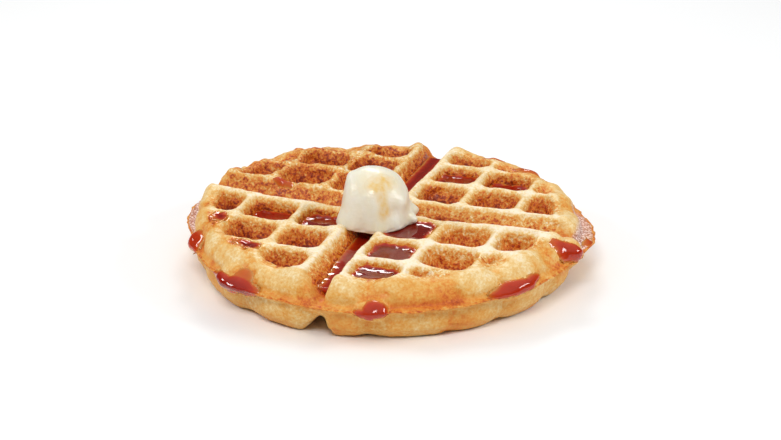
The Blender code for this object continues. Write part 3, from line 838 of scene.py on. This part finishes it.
for name, swells in GLAZES.items():
    low = Vector([min(swell[axis] - swell[axis + 2] for swell in swells) - GLAZE_SPARE for axis in (0, 1)])
    high = Vector([max(swell[axis] + swell[axis + 2] for swell in swells) + GLAZE_SPARE for axis in (0, 1)])

    def top_at(share_x, share_y):
        x = (low.x + share_x * (high.x - low.x)) * MILLIMETRE + LATTICE_CENTRE[0]
        y = (low.y + share_y * (high.y - low.y)) * MILLIMETRE + LATTICE_CENTRE[1]
        spot = crust_tree.ray_cast(Vector((x, y, ABOVE_ALL)), DOWN)[0]
        return spot, -DOWN

    def glaze_here(share_x, share_y):
        return thickness_at(low.x + share_x * (high.x - low.x), low.y + share_y * (high.y - low.y), swells)

    columns, rows = [int(extent * MILLIMETRE / GLAZE_STEP) for extent in high - low]
    sheet_of_syrup(name, columns, rows, top_at, glaze_here)


# The butter: a scoop of whipped butter set on the ribs, starting to melt at its foot, with a
# streak of syrup over its crown and down its front.
BUTTER_CENTRE = (0.0009 + LATTICE_CENTRE[0], -0.0141 + LATTICE_CENTRE[1])
BUTTER_HEIGHT = 0.0216
BUTTER_SINK = 0.0026
SCOOP_TURN = math.radians(19.0)
BUTTER_SIDES = 128
BUTTER_RINGS = 96
# How deep the drapes at the foot and the swirls of the whipping are, in metres
DRAPE = 0.00035
SWIRL_OUT = 0.00030
SWIRL_UP = 0.00020
# Radius of the foot, how much of it tapers off towards the crown, and how square the shoulder is
BUTTER_PROFILES = {
    "right": (0.0158, 0.0004, 3.2),
    "back": (0.0160, 0.0010, 3.4),
    "left": (0.0148, 0.0036, 9.0),
    "front": (0.0172, 0.0034, 3.6),
}
# The foot spreads here: an angle counted from the scoop's right-hand side, and by how much
FOOT_CORNERS = ((214.0, 0.15), (315.0, 0.05))
CORNER_WIDTH = 24.0
# Small moves made with the spoon: a place to the right, forward and up from the middle of the foot,
# then the move and its reach, all in millimetres
SPOON_MARKS = (
    ((-10.6, 1.0, 19.4), (-0.9, 0.0, 1.0), 3.0),
    ((-5.0, 0.0, 21.2), (0.0, 0.0, 0.5), 4.0),
    ((16.5, -1.0, 1.6), (3.9, -0.9, 0.3), 3.0),
    ((15.5, 4.5, 0.8), (3.4, 2.4, -0.3), 2.8),
    ((16.5, 1.8, 1.5), (-1.6, 0.0, 0.0), 1.6),
    ((-16.5, 0.0, 4.6), (1.1, 0.0, 0.0), 2.2),
    ((-15.6, 8.0, 1.2), (-0.6, 0.8, 0.0), 3.2),
    ((8.5, 13.5, 7.0), (-0.5, -0.9, 0.0), 3.4),
    ((12.5, 9.0, 10.0), (0.7, 0.7, 0.0), 3.2),
    ((2.0, 16.5, 1.0), (0.3, 1.2, -0.4), 4.0),
)


def scoop_radius(share, turn):
    """Radius of the scoop at a share of its height; the turn is counted from its right-hand side."""
    sides = {
        "right": max(math.cos(turn), 0.0) ** 2,
        "left": max(-math.cos(turn), 0.0) ** 2,
        "back": max(math.sin(turn), 0.0) ** 2,
        "front": max(-math.sin(turn), 0.0) ** 2,
    }
    radius = 0.0
    for side, weight in sides.items():
        foot, taper, roundness = BUTTER_PROFILES[side]
        radius += weight * (foot - taper * share) * math.sqrt(max(1.0 - share ** roundness, 0.0))
    for corner, growth in FOOT_CORNERS:
        aside = (math.degrees(turn) - corner + 180.0) % 360.0 - 180.0
        radius *= 1.0 + growth * math.exp(-((aside / CORNER_WIDTH) ** 2)) * (1.0 - share) ** 2
    return radius


def streak_at(right, front, height):
    """How much syrup lies on the butter: over the crown, then down the front and into a bead."""
    crown = 1.15 * math.exp(-(((right - 2.6) / 5.8) ** 2 + ((height - 17.4) / 3.0) ** 2))
    crown *= ramp_up(front, 0.0, 5.0)
    path = 4.6 + 0.9 * math.sin(height / 3.0)
    width = 1.5 + 0.06 * height
    down = math.exp(-(((right - path) / width) ** 2)) * (front > 6.0) * ramp_up(height, 3.5, 7.0)
    bead = 1.3 * math.exp(-(((right - 4.2) / 1.8) ** 2 + ((height - 7.5) / 3.0) ** 2)) * (front > 6.0)
    return min(max(crown, down, bead), 1.0)


deselect_all()
bpy.ops.mesh.primitive_uv_sphere_add(segments=BUTTER_SIDES, ring_count=BUTTER_RINGS, radius=1.0)
butter = bpy.context.active_object
butter.name = "whipped_butter"
streak = []
for vert in butter.data.vertices:
    share = min(max(vert.co.z, -1.0), 1.0)
    turn = math.atan2(vert.co.y, vert.co.x)
    ray = Vector((math.cos(turn), math.sin(turn), 0.0))
    if share >= 0.0:
        spot = ray * scoop_radius(share, turn)
        spot.z = BUTTER_HEIGHT * share
    else:
        spot = ray * scoop_radius(0.0, turn) * math.sqrt(max(1.0 - share ** 6, 0.0))
        spot.z = BUTTER_SINK * share
    for place, move, reach in SPOON_MARKS:
        mark = Vector((place[0], -place[1], place[2])) * MILLIMETRE
        near = math.exp(-((spot - mark).length / (reach * MILLIMETRE)) ** 2)
        spot += Vector((move[0], -move[1], move[2])) * MILLIMETRE * near
    low_drape = max(1.0 - share / 0.5, 0.0) if share > 0.0 else 1.0
    drape = noise.noise(Vector((turn * 9.0, 0.0, share * 2.0)))
    swirl = noise.noise(spot / 0.0065 + Vector((3.0, 1.0, 7.0)))
    spot += ray * (DRAPE * drape * low_drape + SWIRL_OUT * swirl)
    spot.z += SWIRL_UP * swirl
    streak.append(streak_at(spot.x / MILLIMETRE, -spot.y / MILLIMETRE, spot.z / MILLIMETRE))
    vert.co = Matrix.Rotation(SCOOP_TURN, 4, "Z") @ spot + Vector((*BUTTER_CENTRE, CREST_HEIGHT))
set_value(butter.data, "streak", streak)
butter_finish, tree, shader = new_finish("butter_cream")
place = add_node(tree, "ShaderNodeTexCoord").outputs["Object"]
BUTTER_TONES = (
    (0.3, paint(243, 240, 225)),
    (0.7, paint(237, 230, 204)),
)
STREAK_TONE = paint(236, 196, 112)
cream = colour_ramp(tree, noise_of(tree, place, 150.0, 3.0), BUTTER_TONES)
blotch = maths(tree, "MULTIPLY", noise_of(tree, place, 420.0, 2.0), 1.5)
stain = maths(tree, "MULTIPLY", value_of(tree, "streak"), blotch, True)
cream = mix_colour(tree, stain, cream, STREAK_TONE)
tree.links.new(cream, shader.inputs["Base Color"])
gloss = maths(tree, "SUBTRACT", 0.34, maths(tree, "MULTIPLY", value_of(tree, "streak"), 0.22), True)
tree.links.new(gloss, shader.inputs["Roughness"])
shader.inputs["Subsurface Weight"].default_value = 0.2
shader.inputs["Subsurface Radius"].default_value = (0.004, 0.003, 0.0018)
shader.inputs["Subsurface Scale"].default_value = 1.0
ripples = noise_of(tree, place, 700.0, 2.0)
soft_bumps = add_node(tree, "ShaderNodeBump", Strength=0.4, Distance=0.0004, Height=ripples)
tree.links.new(soft_bumps.outputs["Normal"], shader.inputs["Normal"])
butter.data.materials.append(butter_finish)
butter.data.shade_smooth()
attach(butter, "root")
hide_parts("butter")


# The stage: a plain pale floor, a soft white studio with four lamps that give the syrup its
# highlights, and the camera, which stands where the photograph was taken from.
deselect_all()
bpy.ops.mesh.primitive_plane_add(size=8.0, location=(0.0, 0.0, 0.0))
floor = bpy.context.active_object
floor.name = "floor"
floor_finish, tree, shader = new_finish("pale_floor")
shader.inputs["Base Color"].default_value = (0.97, 0.975, 0.975, 1.0)
shader.inputs["Roughness"].default_value = 0.9
floor.data.materials.append(floor_finish)
floor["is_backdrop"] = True

# The studio is dim low down and white above
STUDIO_TONES = (
    (0.42, (0.14, 0.14, 0.14, 1.0)),
    (0.80, (1.0, 1.0, 1.0, 1.0)),
)
world = bpy.data.worlds.new("white_studio")
world.use_nodes = True
tree = world.node_tree
studio = tree.nodes["Background"]
toward = add_node(tree, "ShaderNodeTexCoord").outputs["Generated"]
upward = add_node(tree, "ShaderNodeSeparateXYZ", Vector=toward).outputs["Z"]
tree.links.new(colour_ramp(tree, upward, STUDIO_TONES), studio.inputs["Color"])
studio.inputs["Strength"].default_value = 0.67
bpy.context.scene.world = world


LAMP_DISTANCE = 0.9


def direction_of(azimuth, elevation):
    """The way towards an angle round from the front and an angle up from the floor."""
    turn, tilt = math.radians(azimuth), math.radians(elevation)
    return Vector((math.sin(turn) * math.cos(tilt), -math.cos(turn) * math.cos(tilt), math.sin(tilt)))


def lamp(name, azimuth, elevation, size, power):
    """A soft rectangular lamp that faces the middle of the waffle, in metres and watts."""
    where = direction_of(azimuth, elevation)
    data = bpy.data.lights.new(name, "AREA")
    data.shape = "RECTANGLE"
    data.size, data.size_y = size
    data.energy = power
    made = bpy.data.objects.new(name, data)
    bpy.context.scene.collection.objects.link(made)
    made.location = where * LAMP_DISTANCE
    made.rotation_euler = (-where).to_track_quat("-Z", "Y").to_euler()


lamp("window", 198.0, 39.5, (0.26, 0.15), 1.7)
lamp("left_strip", 286.0, 33.0, (0.32, 0.13), 2.1)
lamp("right_strip", 100.0, 33.0, (0.34, 0.15), 2.4)
lamp("front_strip", 10.0, 49.0, (0.28, 0.17), 2.6)

VIEW_AZIMUTH = 19.0
VIEW_ELEVATION = 22.3
VIEW_DISTANCE = 0.8
LENS = 83.89
SENSOR_WIDTH = 36.0
# The middle of the frame lies this far to the right of the waffle's middle, and below it
FRAME_RIGHT = 0.00347
FRAME_DOWN = 0.00734
out = direction_of(VIEW_AZIMUTH, VIEW_ELEVATION)
right = Vector((math.cos(math.radians(VIEW_AZIMUTH)), math.sin(math.radians(VIEW_AZIMUTH)), 0.0))
up = out.cross(right)
aim = Vector((*LATTICE_CENTRE, CREST_HEIGHT)) + right * FRAME_RIGHT - up * FRAME_DOWN
camera = bpy.data.objects.new("camera", bpy.data.cameras.new("camera"))
camera.data.lens = LENS
camera.data.sensor_width = SENSOR_WIDTH
camera.location = aim + out * VIEW_DISTANCE
camera.rotation_euler = (-out).to_track_quat("-Z", "Y").to_euler()
bpy.context.scene.collection.objects.link(camera)
bpy.context.scene.camera = camera
bpy.context.scene.view_settings.view_transform = "Standard"

low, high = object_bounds()
